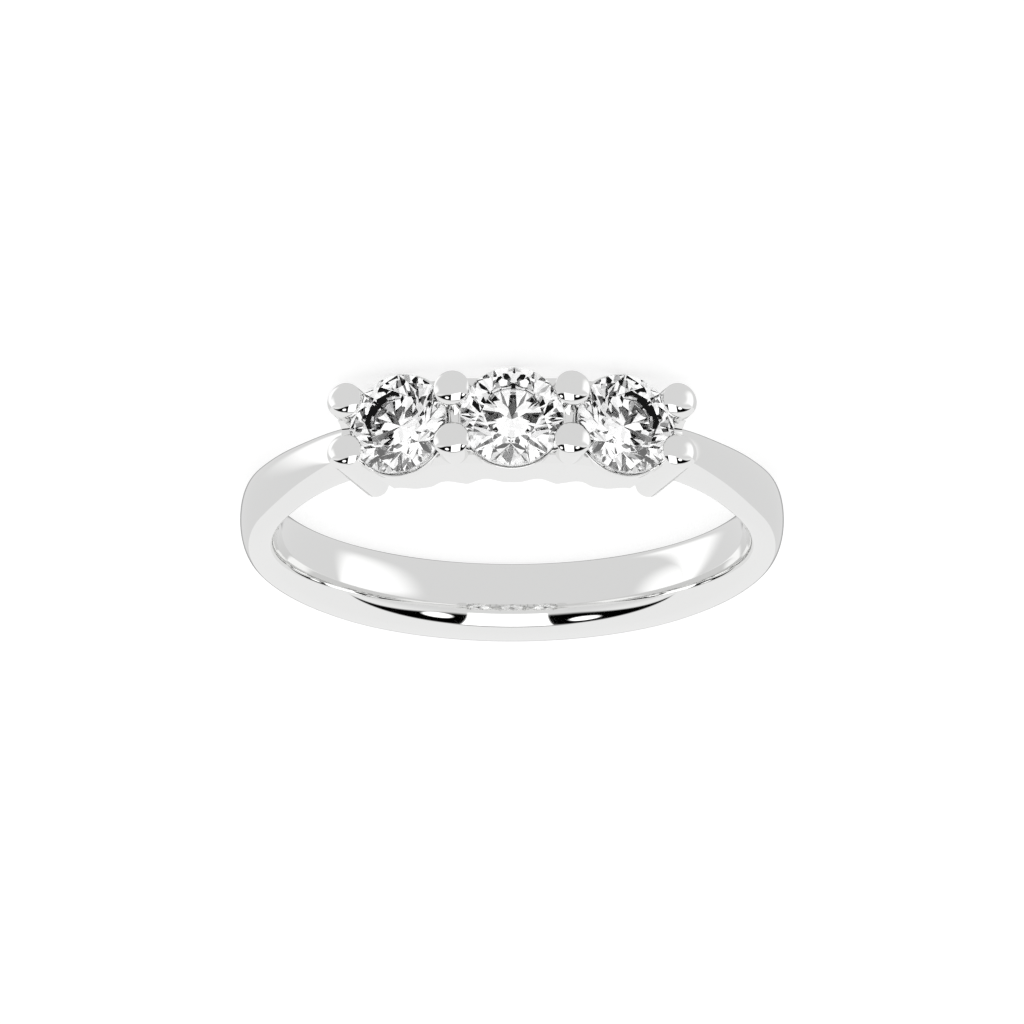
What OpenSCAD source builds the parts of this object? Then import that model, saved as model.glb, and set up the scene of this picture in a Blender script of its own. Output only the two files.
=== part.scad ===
/* [Finger] */
// Inside diameter of the ring
bore_d = 17.2; // [15:0.1:20]

/* [Shank] */
// Width of the shank opposite the stones, where it is widest
shank_w = 2.82; // [2.3:0.02:3.3]
// Thickness of the shank opposite the stones, where it is thickest
shank_t = 1.8; // [1.5:0.05:2.4]
// Height of the rounding along the inner edges
inner_edge = 0.48; // [0.2:0.02:0.5]
// Width of the bore's flat land between the inner roundings
land_w = 1.4; // [1:0.05:1.5]
// Depth below the land at which its metal is one with the shank
land_t = 0.25; // [0.2:0.05:0.4]

/* [Stones] */
// Diameter of each stone over its girdle
stone_d = 3.82; // [3.2:0.02:4.2]
// Thickness of the girdle where it is thickest
girdle_t = 0.12; // [0.1:0.01:0.16]
// Width of the table, from corner to corner, as a share of the diameter
table_share = 0.57; // [0.53:0.01:0.62]
// Angle of the crown's main facets
crown_angle = 34.5; // [32:0.5:36]
// Angle of the pavilion's main facets
pavilion_angle = 40.8; // [40:0.2:42]
// Gap between the girdles of neighbouring stones
stone_gap = 0.42; // [0.3:0.02:0.8]
// Height of the girdles above the finger
girdle_h = 2.5; // [2.35:0.05:3]
// Turn of the centre stone about its own axis
centre_turn = 2.5; // [0:0.5:10]

/* [Setting] */
// Width of the setting over its prongs
head_w = 3.34; // [3.1:0.02:3.7]
// Depth of the gallery's faces behind the prongs
gallery_inset = 0.04; // [0.03:0.01:0.1]
// Diameter of a prong
prong_d = 1.34; // [1.1:0.02:1.4]
// Radius of the rounding round a prong's top
prong_edge = 0.36; // [0.2:0.02:0.4]
// Height of the prongs above the tables
prong_rise = 0.17; // [0.1:0.01:0.4]
// Distance of the outer prongs' axes outside the girdle's end
prong_out = 0.01; // [0:0.01:0.1]
// Clearance between a stone and its setting
seat_clear = 0.05; // [0.04:0.01:0.1]
// Width of the seat's lip outside the girdle
lip = 0.07; // [0.06:0.01:0.15]
// Height of the seat's lip
lip_h = 0.3; // [0.2:0.02:0.5]
// Drop over which the seat narrows below its lip
cup_h = 0.5; // [0.3:0.05:0.8]
// Width of the cup at its foot
cup_w = 2.9; // [2.8:0.05:3.1]
// Distance from the girdles down to the top of the gallery
gallery_drop = 0.2; // [0.18:0.02:0.5]
// Angle that the gallery reaches beyond the outer stones' axes
gallery_reach = 6.6; // [5:0.2:8]
// Diameter of the open hole below each stone
open_d = 2.4; // [1.8:0.05:2.6]
// Radius of the arches along the gallery's lower edge
arch_r = 0.45; // [0.3:0.05:0.5]
// Angle between a stone's axis and the arches beside it
arch_angle = 6.2; // [5.5:0.1:6.6]
// Height of the arches' centres above the finger
arch_lift = 0.07; // [0:0.01:0.2]
// Thickness of the wall between the two outer prongs
end_wall_t = 0.8; // [0.5:0.05:1]
// Width of the scoop between the two outer prongs
scoop_w = 0.66; // [0.4:0.02:0.8]
// Depth of the scoop's bottom below the girdles
scoop_drop = 0.12; // [0:0.02:0.4]

/* [Hidden] */
$fn = 96;

bore_r = bore_d / 2;
stone_r = stone_d / 2;
girdle_r = bore_r + girdle_h;
stone_angle = 2 * asin((stone_d + stone_gap) / (2 * girdle_r));
STONE_ANGLES = [-stone_angle, 0, stone_angle];

// Sections of the shank: the angle from the centre stone, then the width as a share of shank_w,
// and the height of the side and of the crown above the finger, as shares of shank_t
SHANK_ROWS = [
    [30,  0.64, 0.48,  0.80],
    [42,  0.69, 0.44,  0.73],
    [50,  0.74, 0.37,  0.66],
    [60,  0.82, 0.34,  0.63],
    [70,  0.89, 0.37,  0.67],
    [80,  0.92, 0.46,  0.77],
    [90,  0.95, 0.54,  0.84],
    [116, 0.98, 0.54,  0.82],
    [145, 0.99, 0.64,  0.91],
    [180, 1,    0.725, 1],
];
WIDTH = 1;
SIDE = 2;
CROWN = 3;
SHANK_START = 33;
SHANK_STEPS = 48;
SHANK_STEP = (360 - 2 * SHANK_START) / SHANK_STEPS;
ARC_STEP = 22.5;
EDGE_SHARE = 0.9;

crown_h = stone_r * (1 - table_share) * tan(crown_angle);
table_h = girdle_t / 2 + crown_h;
culet_depth = girdle_t / 2 + stone_r * tan(pavilion_angle);
prong_r = prong_d / 2;
prong_z = head_w / 2 - prong_r;
prong_top = table_h + prong_rise;
prong_foot = girdle_h + prong_r;
outer_prong_x = stone_r + prong_out;
lip_r = stone_r + lip;
gallery_angle = stone_angle + gallery_reach;
root_r = bore_r - prong_r;
facet_clear = 0.003;
facet_r = bore_r / cos(SHANK_STEP / 2) + facet_clear;
land_inset = 0.04;
lip_top = -girdle_t / 2 - 2 * seat_clear;

// The ring lies on its back: the lips of the two outer seats and the far edge of the shank
// touch the surface, so the whole ring leans by this angle
far_side_r = bore_r + shank_t * SHANK_ROWS[len(SHANK_ROWS) - 1][SIDE];
lip_foot_r = (girdle_r + lip_top - lip_h) * cos(stone_angle);
lean = atan((lip_r - shank_w / 2) / (lip_foot_r + far_side_r));

// The point at a radius and at an angle from the centre stone, in the ring's plane
function around(r, angle) = [r * sin(angle), -r * cos(angle)];

function share(angle, column) = lookup(angle, [for (row = SHANK_ROWS) [row[0], row[column]]]);

// One section of the shank as [distance from the ring's axis, height], anticlockwise.
// Its flat facets keep just outside the circle of the finger.
function shank_section(angle) =
    let (
        half = shank_w / 2 * share(angle, WIDTH),
        land = land_w / 2,
        side = shank_t * share(angle, SIDE),
        crown = shank_t * share(angle, CROWN),
        edge = min(inner_edge, EDGE_SHARE * side),
        inner = [for (t = [0 : ARC_STEP : 90])
            [facet_r + edge * (1 - cos(t)), land + (half - land) * sin(t)]],
        outer = [for (t = [0 : ARC_STEP : 90])
            [bore_r + side + (crown - side) * sin(t), half * cos(t)]],
        upper = concat(inner, outer)
    )
    concat(upper, [for (i = [len(upper) - 2 : -1 : 0]) [upper[i].x, -upper[i].y]]);

module shank() {
    angles = [for (i = [0 : SHANK_STEPS]) SHANK_START + i * SHANK_STEP];
    rings = [for (a = angles) shank_section(min(a, 360 - a))];
    count = len(rings[0]);
    last = len(rings) - 1;
    points = [for (k = [0 : last]) for (p = rings[k])
        [each around(p.x, angles[k]), p.y]];
    sides = [for (k = [0 : last - 1]) for (i = [0 : count - 1])
        let (
            j = (i + 1) % count,
            here = k * count,
            there = here + count
        )
        each [[here + i, there + i, there + j], [here + i, there + j, here + j]]];
    start_cap = [[for (i = [0 : count - 1]) i]];
    end_cap = [[for (i = [count - 1 : -1 : 0]) last * count + i]];
    polyhedron(points = points, faces = concat(sides, start_cap, end_cap));
}

// Puts its children at a girdle's centre: x along the ring, y along the finger, z outwards
module at_girdle(angle) {
    rotate([0, 0, angle]) translate([0, -girdle_r, 0]) rotate([90, 0, 0]) children();
}

module prong() {
    rotate_extrude() {
        translate([0, -prong_foot]) square([prong_r, prong_foot + prong_top - prong_edge]);
        translate([0, -prong_foot]) square([prong_r - prong_edge, prong_foot + prong_top]);
        intersection() {
            translate([prong_r - prong_edge, prong_top - prong_edge]) circle(r = prong_edge);
            square([prong_r, prong_top]);
        }
    }
}

module prong_pair() {
    for (side = [-1, 1]) translate([0, side * prong_z, 0]) prong();
}

// The seat's lip and the cup that narrows below it
module seat() {
    translate([0, 0, lip_top - lip_h]) cylinder(r = lip_r, h = lip_h);
    translate([0, 0, lip_top - lip_h - cup_h])
        cylinder(r1 = cup_w / 2, r2 = lip_r, h = cup_h);
}

// The room that a stone and its clearance take, open above the table and below the culet.
// Its top is wide enough to clear the corners of the crown, which stand out between the facets.
module stone_room() {
    room_r = stone_r + seat_clear;
    room_top_r = table_share * stone_r + 3 * seat_clear;
    half_t = girdle_t / 2 + seat_clear;
    cone_h = room_r * tan(pavilion_angle);
    translate([0, 0, -half_t]) cylinder(r = room_r, h = 2 * half_t);
    translate([0, 0, half_t]) cylinder(r1 = room_r, r2 = room_top_r, h = crown_h);
    translate([0, 0, -half_t - cone_h]) cylinder(r1 = 0, r2 = room_r, h = cone_h);
    translate([0, 0, -girdle_r]) cylinder(r = open_d / 2, h = girdle_r - half_t);
}

// The wall below the stones, flat on top below each stone
module gallery() {
    top_r = girdle_r - gallery_drop;
    end_r = top_r / cos(gallery_reach);
    joint_r = top_r / cos(stone_angle / 2);
    linear_extrude(height = head_w - 2 * gallery_inset, center = true) polygon([
        around(root_r, -gallery_angle), around(root_r, gallery_angle),
        around(end_r, gallery_angle), around(joint_r, stone_angle / 2),
        around(joint_r, -stone_angle / 2), around(end_r, -gallery_angle),
    ]);
}

module arches() {
    for (stone = STONE_ANGLES, side = [-1, 1])
        rotate([0, 0, stone + side * arch_angle])
            translate([0, -bore_r - arch_lift, -head_w]) cylinder(r = arch_r, h = 2 * head_w);
}

// The wall between the two outer prongs, with the scoop in its top edge
module end_wall() {
    scoop_z = scoop_w / 2 - scoop_drop;
    difference() {
        translate([-end_wall_t / 2, -prong_z, -prong_foot])
            cube([end_wall_t, 2 * prong_z, prong_foot + scoop_z]);
        translate([-prong_d, 0, scoop_z]) rotate([0, 90, 0])
            cylinder(r = scoop_w / 2, h = 2 * prong_d);
    }
}

// The metal below the bore's land, between the two ends of the shank
module land() {
    width = land_w - 2 * land_inset;
    rotate([0, 0, SHANK_START - 90]) rotate_extrude(angle = 360 - 2 * SHANK_START)
        translate([root_r, -width / 2]) square([bore_r + land_t - root_r, width]);
}

module setting() {
    gallery();
    for (stone = STONE_ANGLES) at_girdle(stone) seat();
    for (side = [-1, 1]) {
        at_girdle(side * stone_angle / 2) prong_pair();
        at_girdle(side * stone_angle) translate([side * outer_prong_x, 0, 0]) {
            prong_pair();
            end_wall();
        }
    }
}

module ring_mount() {
    color("gainsboro") {
        shank();
        difference() {
            union() {
                setting();
                land();
            }
            translate([0, 0, -head_w]) cylinder(r = bore_r, h = 2 * head_w);
            for (stone = STONE_ANGLES) at_girdle(stone) stone_room();
            arches();
        }
    }
}

// Facets of a round brilliant: rings of corners from the table down to the culet
SIDES = 8;
MAIN = 360 / SIDES;
HALF = MAIN / 2;
RIM = 4 * SIDES;
STAR_SHARE = 0.55;
LOWER_SHARE = 0.78;

function corner(r, angle, z) = [r * cos(angle), r * sin(angle), z];

// Height at the place p of the plane through a, b and c
function plane_height(a, b, c, p) =
    let (n = cross(b - a, c - a)) a.z - (n.x * (p.x - a.x) + n.y * (p.y - a.y)) / n.z;

// The rim's edge where the facets that meet at the tips cut it, level at every second corner
function rim(tip_r, tip_z, level) = [for (i = [0 : RIM - 1])
    let (
        angle = i * 360 / RIM,
        at = corner(stone_r, angle, level),
        before = corner(stone_r, angle - 360 / RIM, level),
        after = corner(stone_r, angle + 360 / RIM, level),
        tip = corner(tip_r, HALF + MAIN * floor(i / 4), tip_z)
    )
    i % 2 == 0 ? at : [at.x, at.y, plane_height(before, after, tip, at)]];

module cut_stone() {
    table_r = table_share * stone_r;
    table_edge = table_r * cos(HALF);
    star_r = table_edge + STAR_SHARE * (stone_r - table_edge);
    star_z = girdle_t / 2 + (stone_r - star_r * cos(HALF)) * tan(crown_angle);
    low_r = (1 - LOWER_SHARE) * stone_r;
    low_z = -girdle_t / 2 - (stone_r - low_r * cos(HALF)) * tan(pavilion_angle);
    points = concat(
        [for (k = [0 : SIDES - 1]) corner(table_r, k * MAIN, table_h)],
        [for (k = [0 : SIDES - 1]) corner(star_r, HALF + k * MAIN, star_z)],
        rim(star_r, star_z, girdle_t / 2),
        rim(low_r, low_z, -girdle_t / 2),
        [for (k = [0 : SIDES - 1]) corner(low_r, HALF + k * MAIN, low_z)],
        [[0, 0, -culet_depth]]
    );
    star = SIDES;
    upper = 2 * SIDES;
    lower = upper + RIM;
    tip = lower + RIM;
    culet = tip + SIDES;
    faces = concat(
        [[for (k = [SIDES - 1 : -1 : 0]) k]],
        [for (k = [0 : SIDES - 1])
            let (
                next = (k + 1) % SIDES,
                back = (k + SIDES - 1) % SIDES,
                i = 4 * k,
                end = 4 * next
            )
            each [
                [next, star + k, k],
                [star + k, upper + i, star + back, k],
                [star + k, upper + i + 2, upper + i + 1, upper + i],
                [star + k, upper + end, upper + i + 3, upper + i + 2],
                [lower + i, lower + i + 1, lower + i + 2, tip + k],
                [lower + i + 2, lower + i + 3, lower + end, tip + k],
                [culet, tip + back, lower + i, tip + k],
            ]],
        [for (i = [0 : RIM - 1])
            [upper + i, upper + (i + 1) % RIM, lower + (i + 1) % RIM, lower + i]]
    );
    color("aliceblue") polyhedron(points = points, faces = faces);
}

// Lays the ring on its back as it rests
module resting() {
    rotate([-lean, 0, 0]) children();
}

resting() ring_mount();
resting() at_girdle(0) rotate([0, 0, -centre_turn]) cut_stone();  // centre_stone
resting() at_girdle(-stone_angle) cut_stone();  // left_stone
resting() at_girdle(stone_angle) cut_stone();  // right_stone
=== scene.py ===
"""A three stone ring of polished white gold, lying on its side on a pale floor.

The ring is built in its own frame: the finger's axis is z and the centre stone faces -y. Each
finished piece is then leaned with the whole ring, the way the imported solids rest.
"""

import logging
import math
from dataclasses import dataclass
from enum import Enum
from typing import Callable, Iterable, Sequence

import bmesh
import bpy
from mathutils import Matrix, Vector

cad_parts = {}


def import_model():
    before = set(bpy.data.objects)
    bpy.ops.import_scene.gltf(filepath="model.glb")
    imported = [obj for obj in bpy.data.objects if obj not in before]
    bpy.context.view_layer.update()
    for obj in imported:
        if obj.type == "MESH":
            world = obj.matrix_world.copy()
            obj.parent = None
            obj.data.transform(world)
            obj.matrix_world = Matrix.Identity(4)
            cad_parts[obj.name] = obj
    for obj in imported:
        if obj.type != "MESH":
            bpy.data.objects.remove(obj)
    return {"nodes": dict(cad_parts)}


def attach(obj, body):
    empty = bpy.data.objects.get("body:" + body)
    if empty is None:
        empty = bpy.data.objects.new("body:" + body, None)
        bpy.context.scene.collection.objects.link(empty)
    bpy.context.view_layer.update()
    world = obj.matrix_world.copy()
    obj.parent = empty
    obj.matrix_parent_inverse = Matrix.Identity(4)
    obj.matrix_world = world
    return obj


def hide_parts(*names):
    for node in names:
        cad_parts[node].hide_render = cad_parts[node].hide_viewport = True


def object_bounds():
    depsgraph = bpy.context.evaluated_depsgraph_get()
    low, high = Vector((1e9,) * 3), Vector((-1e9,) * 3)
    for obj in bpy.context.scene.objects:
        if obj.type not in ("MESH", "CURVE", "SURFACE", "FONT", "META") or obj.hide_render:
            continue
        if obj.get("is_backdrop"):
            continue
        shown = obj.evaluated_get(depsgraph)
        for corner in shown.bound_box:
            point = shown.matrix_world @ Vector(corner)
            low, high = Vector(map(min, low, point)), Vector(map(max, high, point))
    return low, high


LOG = logging.getLogger("ring")
MM = 0.001
HAIR = MM * 1e-3
BODY = "root"
METAL_NODE = "ring_mount"
WHITE = (1.0, 1.0, 1.0, 1.0)


# Sizes, in millimetres and degrees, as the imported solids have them


class Stone(Enum):
    """A stone, by its place in the row."""

    LEFT = -1
    CENTRE = 0
    RIGHT = 1

    @property
    def node(self) -> str:
        """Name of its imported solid."""
        return self.name.lower() + "_stone"


@dataclass(frozen=True)
class RingSizes:
    """The named sizes that the pieces share."""

    bore_d: float = 17.2
    shank_w: float = 2.82
    shank_t: float = 1.8
    inner_edge: float = 0.55
    stone_d: float = 3.82
    girdle_t: float = 0.12
    table_share: float = 0.57
    crown_angle: float = 34.5
    pavilion_angle: float = 40.8
    stone_gap: float = 0.42
    girdle_h: float = 2.5
    head_w: float = 3.34
    prong_d: float = 1.34
    prong_rise: float = 0.17
    prong_out: float = 0.01
    gallery_drop: float = 0.2
    gallery_reach: float = 6.6
    seat_clear: float = 0.05
    lip: float = 0.07
    lip_h: float = 0.3
    cup_h: float = 0.5
    cup_w: float = 2.9
    open_d: float = 2.4
    arch_angle: float = 6.2
    end_wall_t: float = 0.8
    scoop_w: float = 0.66
    scoop_drop: float = 0.12

    @property
    def bore_r(self) -> float:
        """Radius of the finger's hole."""
        return self.bore_d / 2

    @property
    def stone_r(self) -> float:
        """Radius of a stone's girdle."""
        return self.stone_d / 2

    @property
    def girdle_r(self) -> float:
        """Distance of the girdles' centres from the finger's axis."""
        return self.bore_r + self.girdle_h

    @property
    def stone_angle(self) -> float:
        """Angle between neighbouring stones, in degrees."""
        return 2 * math.degrees(
            math.asin((self.stone_d + self.stone_gap) / (2 * self.girdle_r)))

    @property
    def stone_angles(self) -> list[float]:
        """Angles of the stones from the centre one."""
        return [stone.value * self.stone_angle for stone in Stone]

    @property
    def prong_r(self) -> float:
        """Radius of a prong."""
        return self.prong_d / 2

    @property
    def prong_z(self) -> float:
        """Distance of a prong's axis from the ring's middle plane."""
        return self.head_w / 2 - self.prong_r

    @property
    def crown_h(self) -> float:
        """Height of the crown, from the girdle's upper edge to the table."""
        return self.stone_r * (1 - self.table_share) * math.tan(math.radians(self.crown_angle))

    @property
    def prong_top(self) -> float:
        """Height of the prongs' tops above the girdles' middle."""
        return self.girdle_t / 2 + self.crown_h + self.prong_rise

    @property
    def prong_foot(self) -> float:
        """Depth of the prongs' feet, inside the finger's hole, below the girdles."""
        return self.girdle_h + self.prong_r

    @property
    def outer_prong_x(self) -> float:
        """Distance of the end prongs' axes from their stone's axis."""
        return self.stone_r + self.prong_out

    @property
    def lip_r(self) -> float:
        """Radius of a seat's lip."""
        return self.stone_r + self.lip

    @property
    def lip_top(self) -> float:
        """Height of the lip's top, which lies below the girdle."""
        return -self.girdle_t / 2 - 2 * self.seat_clear

    @property
    def room_top_r(self) -> float:
        """Radius of a stone's room at the table, which clears the corners of the crown."""
        return self.table_share * self.stone_r + 3 * self.seat_clear

    @property
    def gallery_angle(self) -> float:
        """Angle of the gallery's ends from the centre stone."""
        return self.stone_angle + self.gallery_reach

    @property
    def lean(self) -> float:
        """Angle by which the ring leans as it rests on its side.

        Returns:
            The angle in degrees.
        """
        far = self.bore_r + self.shank_t * SHANK_ROWS[-1].side
        foot = self.girdle_r + self.lip_top - self.lip_h
        foot *= math.cos(math.radians(self.stone_angle))
        return math.degrees(math.atan((self.lip_r - self.shank_w / 2) / (foot + far)))


@dataclass(frozen=True)
class ShankRow:
    """One section of the shank: its angle from the centre stone, and shares of the sizes."""

    angle: float
    width: float
    side: float
    crown: float


SHANK_ROWS = (
    ShankRow(30, 0.640, 0.480, 0.780),
    ShankRow(36, 0.660, 0.470, 0.755),
    ShankRow(42, 0.688, 0.445, 0.725),
    ShankRow(46, 0.713, 0.415, 0.693),
    ShankRow(51, 0.745, 0.362, 0.640),
    ShankRow(58, 0.802, 0.323, 0.602),
    ShankRow(65, 0.865, 0.323, 0.602),
    ShankRow(73, 0.901, 0.380, 0.660),
    ShankRow(81, 0.922, 0.483, 0.762),
    ShankRow(90, 0.943, 0.545, 0.825),
    ShankRow(100, 0.957, 0.550, 0.828),
    ShankRow(116, 0.972, 0.540, 0.818),
    ShankRow(128, 0.979, 0.567, 0.845),
    ShankRow(138, 0.987, 0.605, 0.883),
    ShankRow(145, 0.993, 0.645, 0.922),
    ShankRow(162, 0.998, 0.700, 0.977),
    ShankRow(180, 1.000, 0.725, 1.000),
)


def smooth_lookup(angle: float, column: str) -> float:
    """A column of the shank's rows at an angle, on a smooth curve through the rows.

    Args:
        angle: Degrees from the centre stone, up to 180.
        column: Name of the row's field.

    Returns:
        The share at that angle.
    """
    last = len(SHANK_ROWS) - 1
    xs = [row.angle for row in SHANK_ROWS]
    ys = [getattr(row, column) for row in SHANK_ROWS]
    at = min(max(angle, xs[0]), xs[last])
    i = max(k for k in range(last) if xs[k] <= at)

    def slope(k: int) -> float:
        """Slope of the curve at row k, level at the last row."""
        ahead, behind = min(k + 1, last), max(k - 1, 0)
        return 0.0 if k == last else (ys[ahead] - ys[behind]) / (xs[ahead] - xs[behind])

    gap = xs[i + 1] - xs[i]
    t = (at - xs[i]) / gap
    return ((2 * t**3 - 3 * t**2 + 1) * ys[i] + (t**3 - 2 * t**2 + t) * gap * slope(i)
            + (3 * t**2 - 2 * t**3) * ys[i + 1] + (t**3 - t**2) * gap * slope(i + 1))


# Modelling with Blender's own tools


class Element(Enum):
    """What is picked in edit mode."""

    EDGE = "EDGE"
    FACE = "FACE"


class Workshop:
    """Makes and shapes meshes with operators, as by hand."""

    @staticmethod
    def deselect() -> None:
        """Leaves edit mode and deselects every object."""
        if bpy.context.object and bpy.context.object.mode != "OBJECT":
            bpy.ops.object.mode_set(mode="OBJECT")
        bpy.ops.object.select_all(action="DESELECT")

    @classmethod
    def take(cls, obj: bpy.types.Object) -> None:
        """Makes an object the only selected and the active one.

        Args:
            obj: The object.
        """
        cls.deselect()
        obj.select_set(True)
        bpy.context.view_layer.objects.active = obj

    @classmethod
    def place(cls, obj: bpy.types.Object, matrix: Matrix) -> bpy.types.Object:
        """Moves an object by a matrix, and applies that to its mesh.

        Args:
            obj: The object, with its own origin at the world's.
            matrix: Where it goes.

        Returns:
            The same object.
        """
        cls.take(obj)
        obj.matrix_world = matrix @ obj.matrix_world
        bpy.ops.object.transform_apply(location=True, rotation=True, scale=True)
        return obj

    @classmethod
    def lathe(cls, name: str, profile: Sequence[tuple[float, float]],
              steps: int) -> bpy.types.Object:
        """Turns a profile about the z axis.

        Args:
            name: Name of the new object.
            profile: Points as (distance from the axis, height), in millimetres.
            steps: Number of steps in a full turn.

        Returns:
            The turned object.
        """
        cls.deselect()
        bpy.ops.mesh.primitive_plane_add(size=MM)
        obj = bpy.context.object
        obj.name = obj.data.name = name
        bpy.ops.object.mode_set(mode="EDIT")
        bpy.ops.mesh.select_mode(type="VERT")
        bpy.ops.mesh.merge(type="CENTER")
        first = Vector((profile[0][0], 0, profile[0][1])) * MM
        bpy.ops.transform.translate(value=first)
        for (r0, z0), (r1, z1) in zip(profile, profile[1:]):
            step = Vector((r1 - r0, 0, z1 - z0)) * MM
            bpy.ops.mesh.extrude_vertices_move(TRANSFORM_OT_translate={"value": step})
        bpy.ops.mesh.select_all(action="SELECT")
        bpy.ops.mesh.spin(steps=steps, angle=math.tau, center=(0, 0, 0), axis=(0, 0, 1))
        bpy.ops.mesh.select_all(action="SELECT")
        bpy.ops.mesh.remove_doubles(threshold=HAIR)
        bpy.ops.mesh.normals_make_consistent(inside=False)
        bpy.ops.object.mode_set(mode="OBJECT")
        return obj

    @classmethod
    def prism(cls, name: str, outline: Sequence[tuple[float, float]],
              height: float) -> bpy.types.Object:
        """An upright block with a given outline, centred in height.

        Args:
            name: Name of the new object.
            outline: Corners as (x, y), anticlockwise, in millimetres.
            height: Height of the block, in millimetres.

        Returns:
            The block.
        """
        cls.deselect()
        bpy.ops.mesh.primitive_circle_add(vertices=len(outline), radius=MM,
                                          fill_type="NGON")
        obj = bpy.context.object
        obj.name = obj.data.name = name
        for vertex, (x, y) in zip(obj.data.vertices, outline):
            vertex.co = Vector((x, y, -height / 2)) * MM
        bpy.ops.object.mode_set(mode="EDIT")
        bpy.ops.mesh.select_all(action="SELECT")
        bpy.ops.mesh.extrude_region_move(
            TRANSFORM_OT_translate={"value": (0, 0, height * MM)})
        bpy.ops.mesh.select_all(action="SELECT")
        bpy.ops.mesh.normals_make_consistent(inside=False)
        bpy.ops.object.mode_set(mode="OBJECT")
        return obj

    @classmethod
    def pick(cls, obj: bpy.types.Object, element: Element,
             test: Callable[[bmesh.types.BMEdge | bmesh.types.BMFace], bool]) -> None:
        """Goes into edit mode with only the edges or faces selected that pass a test.

        Args:
            obj: The object.
            element: Whether edges or faces are picked.
            test: Says of one of them whether it is picked.
        """
        cls.take(obj)
        bpy.ops.object.mode_set(mode="EDIT")
        bpy.ops.mesh.select_mode(type=element.value)
        bpy.ops.mesh.select_all(action="DESELECT")
        mesh = bmesh.from_edit_mesh(obj.data)
        for item in mesh.faces if element is Element.FACE else mesh.edges:
            if test(item):
                item.select_set(True)
        bmesh.update_edit_mesh(obj.data)

    @classmethod
    def apply(cls, obj: bpy.types.Object, kind: str, **settings: object) -> None:
        """Adds a modifier with these settings and applies it.

        Args:
            obj: The object.
            kind: The modifier's type.
            **settings: Values for the modifier.
        """
        modifier = obj.modifiers.new(kind.title(), kind)
        for key, value in settings.items():
            setattr(modifier, key, value)
        cls.take(obj)
        bpy.ops.object.modifier_apply(modifier=modifier.name)

    @classmethod
    def join(cls, obj: bpy.types.Object, others: Iterable[bpy.types.Object]) -> None:
        """Joins solids to an object, all in one step. The others are used up.

        Args:
            obj: The solid that grows.
            others: The solids that are joined to it.
        """
        box = bpy.data.collections.new("others")
        bpy.context.scene.collection.children.link(box)
        others = list(others)
        for other in others:
            box.objects.link(other)
        cls.apply(obj, "BOOLEAN", operand_type="COLLECTION", collection=box,
                  operation="UNION", solver="EXACT")
        for other in others:
            bpy.data.objects.remove(other)
        bpy.data.collections.remove(box)

    @classmethod
    def cut(cls, obj: bpy.types.Object, tools: Iterable[bpy.types.Object]) -> None:
        """Takes solids away from an object, one after the other. The tools are used up.

        Args:
            obj: The solid that is cut.
            tools: The solids that are taken away.
        """
        for tool in tools:
            cls.apply(obj, "BOOLEAN", object=tool, operation="DIFFERENCE", solver="EXACT")
            bpy.data.objects.remove(tool)

    @classmethod
    def soften(cls, obj: bpy.types.Object, width: float, segments: int = 3,
               over: float = 30.0) -> None:
        """Rounds every sharp edge of an object a little.

        Args:
            obj: The object.
            width: Width of the rounding, in millimetres.
            segments: Faces across the rounding.
            over: Edges over this angle in degrees are rounded.
        """
        cls.apply(obj, "BEVEL", width=width * MM, segments=segments, limit_method="ANGLE",
                  angle_limit=math.radians(over))

    @classmethod
    def finish(cls, obj: bpy.types.Object, lean: float, sharp: float) -> None:
        """Shades a finished piece, and leans it with the ring.

        Args:
            obj: The object.
            lean: The ring's lean, in degrees.
            sharp: Edges over this angle in degrees stay sharp.
        """
        cls.place(obj, Matrix.Rotation(math.radians(-lean), 4, "X"))
        cls.take(obj)
        bpy.ops.object.shade_smooth_by_angle(angle=math.radians(sharp))


# Node trees from expressions


class Wire:
    """A number in a node tree, which takes part in expressions."""

    def __init__(self, tree: "Shader", socket: bpy.types.NodeSocket | None) -> None:
        """Wraps a socket of a tree."""
        self.tree = tree
        self.socket = socket

    def math(self, operation: str, *others: "Wire | float") -> "Wire":
        """The result of a Math node on this value and others."""
        return self.tree.node("ShaderNodeMath", {"operation": operation},
                              {i: v for i, v in enumerate((self, *others))})

    def __add__(self, other: "Wire | float") -> "Wire":
        """Sum."""
        return self.math("ADD", other)

    def __mul__(self, other: "Wire | float") -> "Wire":
        """Product."""
        return self.math("MULTIPLY", other)

    def __sub__(self, other: "Wire | float") -> "Wire":
        """Difference."""
        return self.math("SUBTRACT", other)

    def __rsub__(self, other: float) -> "Wire":
        """Difference from a number."""
        return self * -1.0 + other

    def __abs__(self) -> "Wire":
        """Absolute value."""
        return self.math("ABSOLUTE")

    def ramp(self, low: float, high: float) -> "Wire":
        """0 at low and beyond, 1 at high and beyond, and smooth between them."""
        return self.tree.node("ShaderNodeMapRange", {"interpolation_type": "SMOOTHSTEP"},
                              {"Value": self, "From Min": low, "From Max": high})

    def blend(self, other: "Wire | float", share: "Wire | float") -> "Wire":
        """This value where share is 0, the other where it is 1."""
        return self + (other - self) * share

    def within(self, low: float, high: float, soft: float) -> "Wire":
        """1 from low to high, 0 outside, with soft edges."""
        return (self.ramp(low - soft / 2, low + soft / 2)
                * (1.0 - self.ramp(high - soft / 2, high + soft / 2)))


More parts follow.
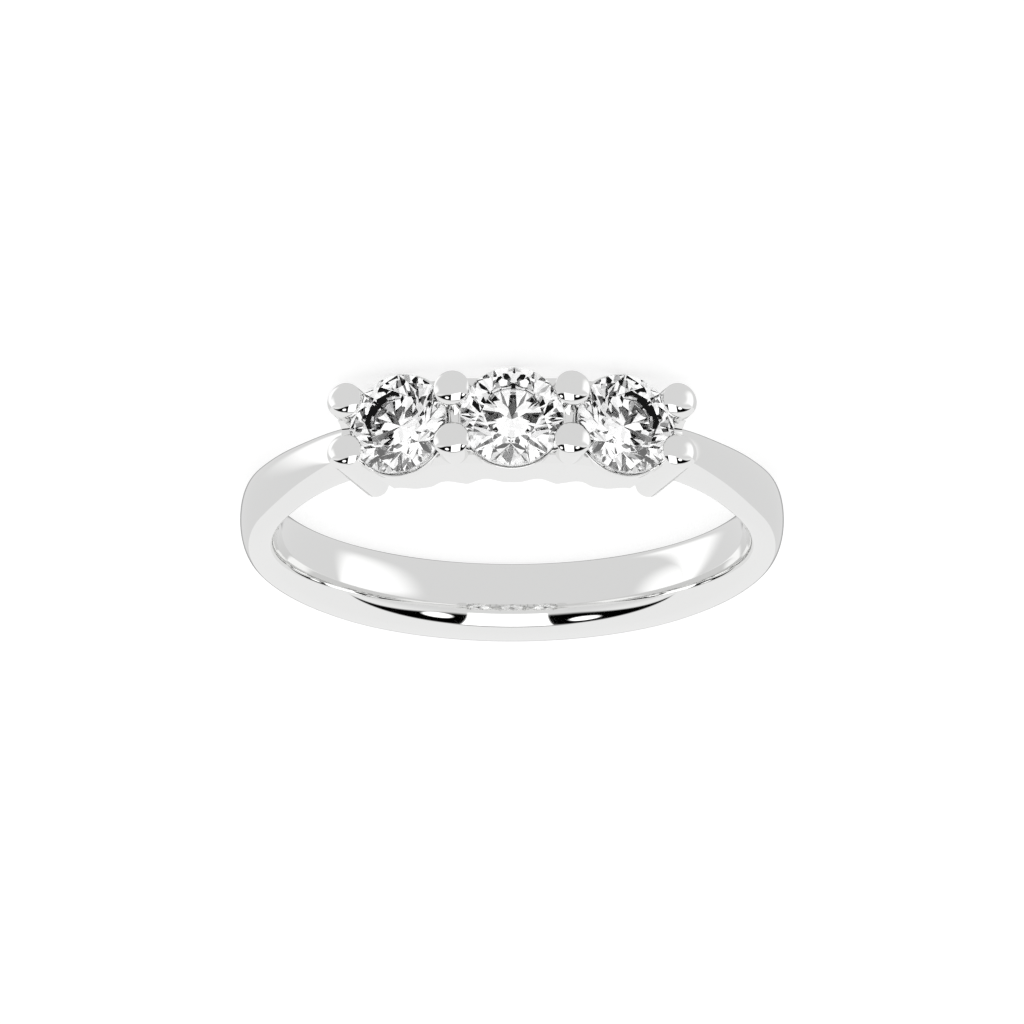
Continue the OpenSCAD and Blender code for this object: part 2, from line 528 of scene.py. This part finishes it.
class Shader:
    """Adds nodes to one node tree."""

    def __init__(self, owner: bpy.types.Material | bpy.types.World) -> None:
        """Clears the owner's tree and starts with it.

        Args:
            owner: The material or world.
        """
        owner.use_nodes = True
        self.tree = owner.node_tree
        self.tree.nodes.clear()

    def node(self, kind: str, settings: dict[str, object] | None = None,
             inputs: dict[str | int, object] | None = None,
             output: str | int = 0) -> Wire:
        """Adds a node.

        Args:
            kind: The node's type.
            settings: Its settings, set before its sockets.
            inputs: Values or wires of its sockets, by name or number.
            output: Which output is returned.

        Returns:
            The output, as a wire.
        """
        node = self.tree.nodes.new(kind)
        for key, value in (settings or {}).items():
            setattr(node, key, value)
        for key, value in (inputs or {}).items():
            if isinstance(value, Wire):
                self.tree.links.new(value.socket, node.inputs[key])
            else:
                node.inputs[key].default_value = value
        return Wire(self, node.outputs[output] if node.outputs else None)

    def ray(self, output: str) -> Wire:
        """1 for rays of one kind, 0 for others."""
        return self.node("ShaderNodeLightPath", output=output)

    def parts(self, vector: Wire) -> tuple[Wire, Wire, Wire]:
        """Splits a vector.

        Args:
            vector: The vector.

        Returns:
            Its x, y and z.
        """
        node = self.tree.nodes.new("ShaderNodeSeparateXYZ")
        self.tree.links.new(vector.socket, node.inputs[0])
        return tuple(Wire(self, socket) for socket in node.outputs)


@dataclass(frozen=True)
class PolishedGold:
    """Polished white gold, with the faint haze that a buffing wheel leaves."""

    name: str = "polished_white_gold"
    color: tuple[float, float, float, float] = (0.875, 0.875, 0.87, 1.0)
    roughness: float = 0.03
    haze: float = 0.03
    haze_edge: tuple[float, float] = (0.35, 0.75)
    grain: float = 900.0
    detail: float = 3.0

    def build(self) -> bpy.types.Material:
        """Makes the material.

        Returns:
            The material.
        """
        material = bpy.data.materials.new(self.name)
        s = Shader(material)
        where = s.node("ShaderNodeTexCoord", output="Object")
        noise = s.node("ShaderNodeTexNoise", {"noise_dimensions": "3D"},
                       {"Vector": where, "Scale": self.grain, "Detail": self.detail})
        rough = noise.ramp(*self.haze_edge) * self.haze + self.roughness
        bsdf = s.node("ShaderNodeBsdfPrincipled", None,
                      {"Base Color": self.color, "Metallic": 1.0, "Roughness": rough})
        s.node("ShaderNodeOutputMaterial", None, {"Surface": bsdf})
        return material


@dataclass(frozen=True)
class CutStone:
    """A clear colourless stone with polished facets and a finely ground girdle."""

    name: str
    centre: tuple[float, float, float]
    axis: tuple[float, float, float]
    radius: float
    ior: float = 2.417
    ground: float = 0.25
    girdle_edge: tuple[float, float] = (0.976, 0.982)

    def build(self) -> bpy.types.Material:
        """Makes the material. The girdle is the surface furthest from the stone's axis.

        Returns:
            The material.
        """
        material = bpy.data.materials.new(self.name)
        s = Shader(material)
        where = s.node("ShaderNodeTexCoord", output="Object")
        arm = s.node("ShaderNodeVectorMath", {"operation": "SUBTRACT"},
                     {0: where, 1: self.centre})
        off = s.node("ShaderNodeVectorMath", {"operation": "CROSS_PRODUCT"},
                     {0: arm, 1: self.axis})
        far = s.node("ShaderNodeVectorMath", {"operation": "LENGTH"}, {0: off},
                     output="Value")
        start, end = self.girdle_edge
        rough = far.ramp(self.radius * start, self.radius * end) * self.ground
        bsdf = s.node("ShaderNodeBsdfPrincipled", None,
                      {"Base Color": WHITE, "Roughness": rough, "IOR": self.ior,
                       "Transmission Weight": 1.0})
        s.node("ShaderNodeOutputMaterial", None, {"Surface": bsdf})
        return material


# The ring


def at_girdle(sizes: RingSizes, angle: float) -> Matrix:
    """Where a girdle's centre is: x along the ring, y along the finger, z outwards."""
    return (Matrix.Rotation(math.radians(angle), 4, "Z")
            @ Matrix.Translation((0, -sizes.girdle_r * MM, 0))
            @ Matrix.Rotation(math.radians(90), 4, "X"))


def around(r: float, angle: float) -> tuple[float, float]:
    """The point at a radius and at an angle from the centre stone, in the ring's plane."""
    return (r * math.sin(math.radians(angle)), -r * math.cos(math.radians(angle)))


def arc(cx: float, cy: float, r: float, start: float, end: float,
        count: int) -> list[tuple[float, float]]:
    """Points of an arc.

    Args:
        cx: Its centre's first coordinate.
        cy: Its centre's second coordinate.
        r: Radius.
        start: First angle in degrees.
        end: Last angle in degrees.
        count: Number of steps.

    Returns:
        count + 1 points.
    """
    turns = [math.radians(start + (end - start) * i / count) for i in range(count + 1)]
    return [(cx + r * math.cos(t), cy + r * math.sin(t)) for t in turns]


@dataclass
class Shank:
    """The band: domed outside, rounded inside, narrowing towards the stones."""

    sizes: RingSizes
    sections: int = 72
    section_points: int = 28
    open_angle: float = 32.0
    edge_share: float = 0.95
    levels: int = 2
    sharp: float = 60.0

    def point(self, angle: float, turn: float) -> Vector:
        """A point of the skin.

        Args:
            angle: Degrees round the ring from the centre stone.
            turn: Degrees round the section, 0 at one side's middle and 90 at the crown.

        Returns:
            The point in metres, in the ring's frame.
        """
        s = self.sizes
        a = min(angle, 360 - angle)
        half = s.shank_w / 2 * smooth_lookup(a, "width")
        side = s.shank_t * smooth_lookup(a, "side")
        crown = s.shank_t * smooth_lookup(a, "crown")
        edge = min(s.inner_edge, self.edge_share * side)
        up, out = math.cos(math.radians(turn)), math.sin(math.radians(turn))
        low, reach = (side, crown - side) if out >= 0 else (edge, edge)
        x, y = around(s.bore_r + low + reach * out, angle)
        return Vector((x, y, half * up)) * MM

    def build(self) -> bpy.types.Object:
        """Shapes a torus into the shank, and opens it under the stones.

        Returns:
            The shank.
        """
        Workshop.deselect()
        bpy.ops.mesh.primitive_torus_add(
            major_segments=self.sections, minor_segments=self.section_points,
            major_radius=self.sizes.girdle_r * MM, minor_radius=MM)
        obj = bpy.context.object
        obj.name = obj.data.name = "shank"
        span = 360 - 2 * self.open_angle
        for i in range(self.sections):
            angle = self.open_angle + span * i / (self.sections - 1)
            for j in range(self.section_points):
                turn = 360 * (j + 0.5) / self.section_points
                obj.data.vertices[i * self.section_points + j].co = self.point(angle, turn)
        first, last = self.section_points, (self.sections - 1) * self.section_points
        Workshop.pick(obj, Element.FACE, lambda face: (
            min(v.index for v in face.verts) < first
            and max(v.index for v in face.verts) >= last))
        bpy.ops.mesh.delete(type="FACE")
        bpy.ops.mesh.select_all(action="SELECT")
        bpy.ops.mesh.fill_holes(sides=0)
        bpy.ops.mesh.select_all(action="SELECT")
        bpy.ops.mesh.normals_make_consistent(inside=False)
        bpy.ops.object.mode_set(mode="OBJECT")
        Workshop.apply(obj, "SUBSURF", levels=self.levels, render_levels=self.levels)
        Workshop.finish(obj, self.sizes.lean, self.sharp)
        return obj


@dataclass
class Setting:
    """The gallery with its seats and waves, the prongs and the end walls, in one solid."""

    sizes: RingSizes
    round_steps: int = 96
    prong_steps: int = 64
    flat_r: float = 0.14
    dome_r: float = 0.77
    dome_share: float = 0.96
    dome_steps: int = 10
    rim_steps: int = 8
    wall_inset: float = 0.012
    wall_chamfer: float = 0.24
    wall_top: float = 1.0
    lip_inset: float = 0.006
    lip_round: float = 0.04
    lip_steps: int = 4
    scoop_steps: int = 24
    end_round: float = 0.06
    wave_height: float = 0.42
    wave_half: float = 5.0
    finger_steps: int = 500
    finger_reach: float = 4.0
    sharp: float = 25.0

    def prong_profile(self) -> list[tuple[float, float]]:
        """Half of a prong's outline: its side, the rounding at its rim and its domed top.

        Returns:
            Points as (distance from the prong's axis, height above the girdles).
        """
        s = self.sizes
        reach = self.dome_share * s.prong_r
        turn = math.asin((reach - self.flat_r) / self.dome_r)
        side_turn = 90 - math.degrees(turn)
        rim = (s.prong_r - reach) / (1 - math.sin(turn))
        drop = self.dome_r * (1 - math.cos(turn))
        rim_h = s.prong_top - drop - rim * math.cos(turn)
        return [(0.0, -s.prong_foot), (s.prong_r, -s.prong_foot),
                *arc(s.prong_r - rim, rim_h, rim, 0, side_turn, self.rim_steps),
                *arc(self.flat_r, s.prong_top - self.dome_r, self.dome_r, side_turn, 90,
                     self.dome_steps)[1:],
                (0.0, s.prong_top)]

    def prongs(self) -> list[bpy.types.Object]:
        """All prongs in place: four between the stones and four at the ends of the row.

        Returns:
            The prongs.
        """
        s = self.sizes
        places = []
        for side in (-1, 1):
            shared = at_girdle(s, side * s.stone_angle / 2)
            end = self.at_end(side)
            for face in (-1, 1):
                along = Matrix.Translation((0, face * s.prong_z * MM, 0))
                places += [shared @ along, end @ along]
        profile = self.prong_profile()
        return [Workshop.place(Workshop.lathe("prong", profile, self.prong_steps), place)
                for place in places]

    def at_end(self, side: int) -> Matrix:
        """Where the end prongs and the wall between them stand, -1 left and 1 right."""
        s = self.sizes
        return at_girdle(s, side * s.stone_angle) @ Matrix.Translation(
            (side * s.outer_prong_x * MM, 0, 0))

    def gallery(self) -> bpy.types.Object:
        """The wall below the stones, chamfered along its upper edges.

        Returns:
            The wall.
        """
        s = self.sizes
        top = s.girdle_r - s.gallery_drop
        root = s.bore_r - s.prong_r
        joint = top / math.cos(math.radians(s.stone_angle / 2))
        end = top / math.cos(math.radians(s.gallery_reach))
        reach, half = s.gallery_angle, s.stone_angle / 2
        outline = [around(root, reach), around(root, -reach), around(end, -reach),
                   around(joint, -half), around(joint, half), around(end, reach)]
        wall = Workshop.prism("setting", outline, s.head_w - 2 * self.wall_inset)
        upper_r = (s.girdle_r - self.wall_top) * MM
        Workshop.pick(wall, Element.EDGE, lambda edge: (
            all(v.co.xy.length > upper_r for v in edge.verts)
            and abs(edge.verts[0].co.z - edge.verts[1].co.z) < HAIR))
        bpy.ops.mesh.bevel(offset=self.wall_chamfer * MM, segments=1)
        bpy.ops.object.mode_set(mode="OBJECT")
        return wall

    def seat(self, angle: float) -> bpy.types.Object:
        """The lip round a stone and the cup below it, before they are hollowed.

        Args:
            angle: The stone's angle.

        Returns:
            The seat.
        """
        s = self.sizes
        foot = s.lip_top - s.lip_h
        rim, edge = s.lip_r - self.lip_inset, self.lip_round
        points = [(0.0, foot - s.cup_h), (s.cup_w / 2, foot - s.cup_h), (rim, foot),
                  *arc(rim - edge, s.lip_top - edge, edge, 0, 90, self.lip_steps),
                  (0.0, s.lip_top)]
        return Workshop.place(Workshop.lathe("seat", points, self.round_steps),
                              at_girdle(s, angle))

    def room(self, angle: float) -> bpy.types.Object:
        """The room that a stone takes in the metal, with the open hole below it.

        Args:
            angle: The stone's angle.

        Returns:
            The room, as a solid.
        """
        s = self.sizes
        r = s.stone_r + s.seat_clear
        half = s.girdle_t / 2 + s.seat_clear
        slope = math.tan(math.radians(s.pavilion_angle))
        foot = -s.prong_foot - s.prong_r
        points = [(0.0, foot), (s.open_d / 2, foot),
                  (s.open_d / 2, -half - (r - s.open_d / 2) * slope), (r, -half), (r, half),
                  (s.room_top_r, half + s.crown_h), (0.0, half + s.crown_h)]
        return Workshop.place(Workshop.lathe("room", points, self.round_steps),
                              at_girdle(s, angle))

    def end_wall(self, side: int) -> bpy.types.Object:
        """The low wall between two end prongs, with the scoop in its top.

        Args:
            side: -1 at the left end, 1 at the right.

        Returns:
            The wall.
        """
        s = self.sizes
        scoop_r = s.scoop_w / 2
        top = scoop_r - s.scoop_drop
        scoop = [(-y, x) for x, y in arc(top, 0, scoop_r, 90, 270, self.scoop_steps)]
        outline = [(s.prong_z, -s.prong_foot), (s.prong_z, top), *scoop[::-1],
                   (-s.prong_z, top), (-s.prong_z, -s.prong_foot)]
        wall = Workshop.prism("end_wall", outline, s.end_wall_t)
        Workshop.soften(wall, self.end_round)
        turn = Matrix.Rotation(math.radians(90), 4, "Z") @ Matrix.Rotation(
            math.radians(90), 4, "X")
        return Workshop.place(wall, self.at_end(side) @ turn)

    def finger(self) -> bpy.types.Object:
        """The finger's hole, with the waves that run along the gallery's lower edge.

        Returns:
            The hole, as a solid that reaches beyond the ring on both sides.
        """
        s = self.sizes
        arches = [stone + side * s.arch_angle for stone in s.stone_angles for side in (-1, 1)]
        outline = []
        for i in range(self.finger_steps):
            angle = 360 * i / self.finger_steps - 180
            near = min(abs(angle - arch) for arch in arches)
            wave = math.cos(math.radians(90 * min(near / self.wave_half, 1))) ** 2
            outline.append(around(s.bore_r + self.wave_height * wave, angle))
        return Workshop.prism("finger", outline, self.finger_reach * s.head_w)

    def build(self) -> bpy.types.Object:
        """Joins the pieces of the setting, and cuts the finger's hole and the stones' rooms.

        Returns:
            The setting.
        """
        s = self.sizes
        body = self.gallery()
        Workshop.join(body, [self.seat(angle) for angle in s.stone_angles])
        Workshop.join(body, [self.end_wall(side) for side in (-1, 1)])
        Workshop.join(body, self.prongs())
        Workshop.cut(body, [self.finger(), *(self.room(angle) for angle in s.stone_angles)])
        Workshop.finish(body, s.lean, self.sharp)
        return body


@dataclass
class Stones:
    """The three cut stones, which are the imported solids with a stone's finish."""

    sizes: RingSizes

    def dress(self, nodes: dict[str, bpy.types.Object]) -> list[bpy.types.Object]:
        """Gives each stone its own material, centred on it.

        Args:
            nodes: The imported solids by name.

        Returns:
            The stones.
        """
        s = self.sizes
        lean = Matrix.Rotation(math.radians(-s.lean), 4, "X")
        done = []
        for stone in Stone:
            at = lean @ at_girdle(s, stone.value * s.stone_angle)
            finish = CutStone("clear_" + stone.node, tuple(at.translation),
                              tuple(at.to_3x3() @ Vector((0, 0, 1))), s.stone_r * MM)
            obj = nodes[stone.node]
            obj.data.materials.clear()
            obj.data.materials.append(finish.build())
            obj.data.shade_flat()
            done.append(obj)
        return done


# The room round the ring


@dataclass(frozen=True)
class Patch:
    """A stretch of a wall: the two values across it where it fades in, and its span of rise."""

    edge: tuple[float, float]
    span: tuple[float, float, float]

    def share(self, across: Wire, rise: Wire) -> Wire:
        """1 inside the patch and 0 outside."""
        return across.ramp(*self.edge) * rise.within(*self.span)


@dataclass(frozen=True)
class Oval:
    """A soft-edged oval: its middle and half sizes, and shares of them where it fades out."""

    x: float
    y: float
    half_x: float
    half_y: float
    inner: float
    outer: float

    def share(self, x: Wire, y: Wire) -> Wire:
        """1 inside the oval and 0 outside."""
        dx, dy = (x - self.x) * (1 / self.half_x), (y - self.y) * (1 / self.half_y)
        return 1.0 - (dx * dx + dy * dy).ramp(self.inner, self.outer)


@dataclass(frozen=True)
class Walls:
    """The studio as the metal reflects it, with x along the row of stones.

    Rise is the angle in degrees round the x axis, 0 straight ahead of the stones, 90 above and
    -90 below. An edge is where something fades in, from its first value to its second.
    """

    sky: float = 0.92
    ground: float = 0.76
    horizon: tuple[float, float] = (5, 20)
    white: float = 1.18
    white_walls: tuple[Patch, ...] = (
        Patch((-0.64, -0.84), (-106, -12, 22)),
        Patch((0.85, 0.96), (-106, -12, 22)),
        Patch((0.46, 0.62), (-138, -96, 18)))
    dark: float = 0.0
    front_foot: float = 12.0
    front_foot_edge: tuple[float, float] = (-2, 4)
    front_top_edge: tuple[float, float] = (49, 43)
    front_end_edge: tuple[float, float] = (1.0, 0.97)
    bend_start: float = 0.45
    bend: float = 88.0
    valance_light: float = 0.35
    valance: Patch = Patch((0.45, 0.3), (44, 49, 3))
    lamp_light: float = 1.6
    panel_x: float = -0.035
    panel: Patch = Patch((0.335, 0.315), (10, 45, 2))
    lamps: tuple[Oval, ...] = (
        Oval(-0.57, 22.0, 0.11, 7.0, 0.6, 1.3), Oval(0.54, 31.0, 0.11, 7.0, 0.6, 1.3))
    back_light: float = 0.35
    back_end_edge: tuple[float, float] = (0.30, 0.16)
    back_rise_edge: tuple[float, float] = (-112, -126)
    plain_edge: tuple[float, float] = (-5, 15)

    def glow(self, x: Wire, rise: Wire) -> Wire:
        """The light from each direction, from the pale walls to what stands before them.

        Args:
            x: The direction's x.
            rise: The direction's rise.

        Returns:
            The light.
        """
        side = abs(x)
        glow = rise.ramp(*self.horizon) * (self.sky - self.ground) + self.ground
        left, right, corner = (patch.share(x, rise) for patch in self.white_walls)
        glow = glow.blend(self.white, left.math("MAXIMUM", right).math("MAXIMUM", corner))
        bend = (side - self.bend_start).math("MAXIMUM", 0.0)
        foot = bend * bend * self.bend + self.front_foot
        front = ((rise - foot).ramp(*self.front_foot_edge) * rise.ramp(*self.front_top_edge)
                 * side.ramp(*self.front_end_edge))
        glow = glow.blend(self.dark, front)
        glow = glow.blend(self.valance_light, self.valance.share(side, rise))
        glow = glow.blend(self.lamp_light, self.panel.share(abs(x - self.panel_x), rise))
        for lamp in self.lamps:
            glow = glow.blend(self.lamp_light, lamp.share(x, rise))
        back = side.ramp(*self.back_end_edge) * rise.ramp(*self.back_rise_edge)
        return glow.blend(self.back_light, back)

    def plain(self, rise: Wire, under: float) -> Wire:
        """The sky alone, over a floor of a given light."""
        return rise.ramp(*self.plain_edge) * (self.sky - under) + under


@dataclass(frozen=True)
class Tent:
    """What lights the stones from within: a bright folded tent with dark cards at its front."""

    light: float = 1.0
    change: float = 0.3
    rise_edge: tuple[float, float] = (-0.8, 0.8)
    fold: float = 0.35
    fold_edge: tuple[float, float] = (0.05, 0.3)
    dark: float = 0.0
    front_edge: tuple[float, float] = (0.0, 0.05)
    cards: tuple[Oval, ...] = (
        Oval(0.0, -0.07, 0.32, 0.3, 0.8, 1.2),
        Oval(-0.38, 0.22, 0.2, 0.16, 0.8, 1.2),
        Oval(0.4, 0.23, 0.2, 0.16, 0.8, 1.2))

    def glow(self, across: Wire, above: Wire, ahead: Wire) -> Wire:
        """The light from each direction.

        Args:
            across: The direction's share to the tent's right.
            above: Its share to the tent's top.
            ahead: Its share to the tent's front.

        Returns:
            The light.
        """
        folds = across.math("PINGPONG", self.fold).ramp(*self.fold_edge)
        glow = (above.ramp(*self.rise_edge) + folds) * self.change + self.light
        front = ahead.ramp(*self.front_edge)
        for card in self.cards:
            glow = glow.blend(self.dark, card.share(across, above) * front)
        return glow


@dataclass(frozen=True)
class Studio:
    """Floor, light and camera."""

    sizes: RingSizes
    walls: Walls = Walls()
    tent: Tent = Tent()
    under: float = 0.05
    backdrop: float = 1.05
    floor_half: float = 3.0
    floor_grey: float = 0.4
    floor_glow: float = 0.72
    distance: float = 0.9
    picture_mm: float = 37.93
    sensor_mm: float = 36.0
    clip: tuple[float, float] = (0.05, 50.0)
    sight: tuple[float, float, float] = (0.0, -0.9426, 0.334)
    aim: tuple[float, float, float] = (0.0, -0.073, -0.206)
    bounces: int = 24
    glossy_bounces: int = 5

    @property
    def lean(self) -> Matrix:
        """The ring's lean, which the camera shares."""
        return Matrix.Rotation(math.radians(-self.sizes.lean), 3, "X")

    def axes(self) -> tuple[Vector, Vector, Vector]:
        """The camera's right, up and back. The picture is turned by half a turn.

        Returns:
            Three unit vectors.
        """
        back = (self.lean @ Vector(self.sight)).normalized()
        up = (self.lean @ Vector((0.0, -self.sight[2], self.sight[1]))).normalized()
        return up.cross(back), up, back

    def floor(self, height: float) -> bpy.types.Object:
        """The pale floor.

        Args:
            height: Its height, in metres.

        Returns:
            The floor.
        """
        Workshop.deselect()
        bpy.ops.mesh.primitive_plane_add(size=2 * self.floor_half, location=(0, 0, height))
        obj = bpy.context.object
        obj.name = obj.data.name = "floor"
        material = bpy.data.materials.new("pale_floor")
        s = Shader(material)
        grey = (self.floor_grey, self.floor_grey, self.floor_grey, 1.0)
        diffuse = s.node("ShaderNodeBsdfPrincipled", None,
                         {"Base Color": grey, "Roughness": 1.0, "Specular IOR Level": 0.0,
                          "Emission Color": WHITE,
                          "Emission Strength": s.ray("Is Camera Ray") * self.floor_glow})
        s.node("ShaderNodeOutputMaterial", None, {"Surface": diffuse})
        obj.data.materials.append(material)
        obj.visible_glossy = False
        obj.visible_transmission = False
        obj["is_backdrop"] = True
        return obj

    def light(self) -> None:
        """Lights the ring: metal by the walls, stones by the tent, and facets by a plain sky."""
        world = bpy.data.worlds.new("studio")
        bpy.context.scene.world = world
        s = Shader(world)
        x, y, z = s.parts(s.node("ShaderNodeTexCoord", output="Generated"))
        rise = z.math("ARCTAN2", y * -1.0) * (180 / math.pi)
        across, above, ahead = (x * axis.x + y * axis.y + z * axis.z for axis in self.axes())
        off_facet = s.ray("Is Singular Ray") * s.ray("Is Glossy Ray")
        glow = self.walls.glow(x, rise).blend(self.walls.plain(rise, self.under), off_facet)
        glow = glow.blend(self.tent.glow(across, above, ahead), s.ray("Is Transmission Ray"))
        glow = glow.blend(self.backdrop, s.ray("Is Camera Ray"))
        shown = s.node("ShaderNodeBackground", None, {"Color": WHITE, "Strength": glow})
        s.node("ShaderNodeOutputWorld", None, {"Surface": shown})

    def camera(self) -> None:
        """A long lens at the photograph's angle."""
        right, up, back = self.axes()
        data = bpy.data.cameras.new("camera")
        data.sensor_width = self.sensor_mm
        data.lens = data.sensor_width * self.distance / (self.picture_mm * MM)
        data.clip_start, data.clip_end = self.clip
        obj = bpy.data.objects.new("camera", data)
        bpy.context.scene.collection.objects.link(obj)
        turn = Matrix((right, up, back)).transposed()
        place = self.lean @ (Vector(self.aim) * MM) + back * self.distance
        obj.matrix_world = Matrix.Translation(place) @ turn.to_4x4()
        bpy.context.scene.camera = obj

    def develop(self) -> None:
        """Shows colours as they are, and lets light cross the stones many times."""
        scene = bpy.context.scene
        scene.view_settings.view_transform = "Standard"
        scene.view_settings.look = "None"
        scene.cycles.max_bounces = self.bounces
        scene.cycles.transmission_bounces = self.bounces
        scene.cycles.glossy_bounces = self.glossy_bounces


def dress(obj: bpy.types.Object, material: bpy.types.Material) -> None:
    """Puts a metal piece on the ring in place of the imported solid.

    Args:
        obj: The piece.
        material: Its finish.
    """
    obj.data.materials.clear()
    obj.data.materials.append(material)
    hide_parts(METAL_NODE)
    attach(obj, BODY)
    LOG.info("%s: %d faces", obj.name, len(obj.data.polygons))


def main() -> None:
    """Builds the ring and the studio round it."""
    logging.basicConfig(level=logging.INFO, format="%(name)s: %(message)s")
    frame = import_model()
    solid_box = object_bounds()
    sizes = RingSizes()
    studio = Studio(sizes)
    gold = PolishedGold().build()
    for piece in (Shank(sizes), Setting(sizes)):
        dress(piece.build(), gold)
    for stone in Stones(sizes).dress(frame["nodes"]):
        LOG.info("%s: %s", stone.name, stone.active_material.name)
    studio.floor(solid_box[0][2])
    studio.light()
    studio.camera()
    studio.develop()


if __name__ == "__main__":
    main()
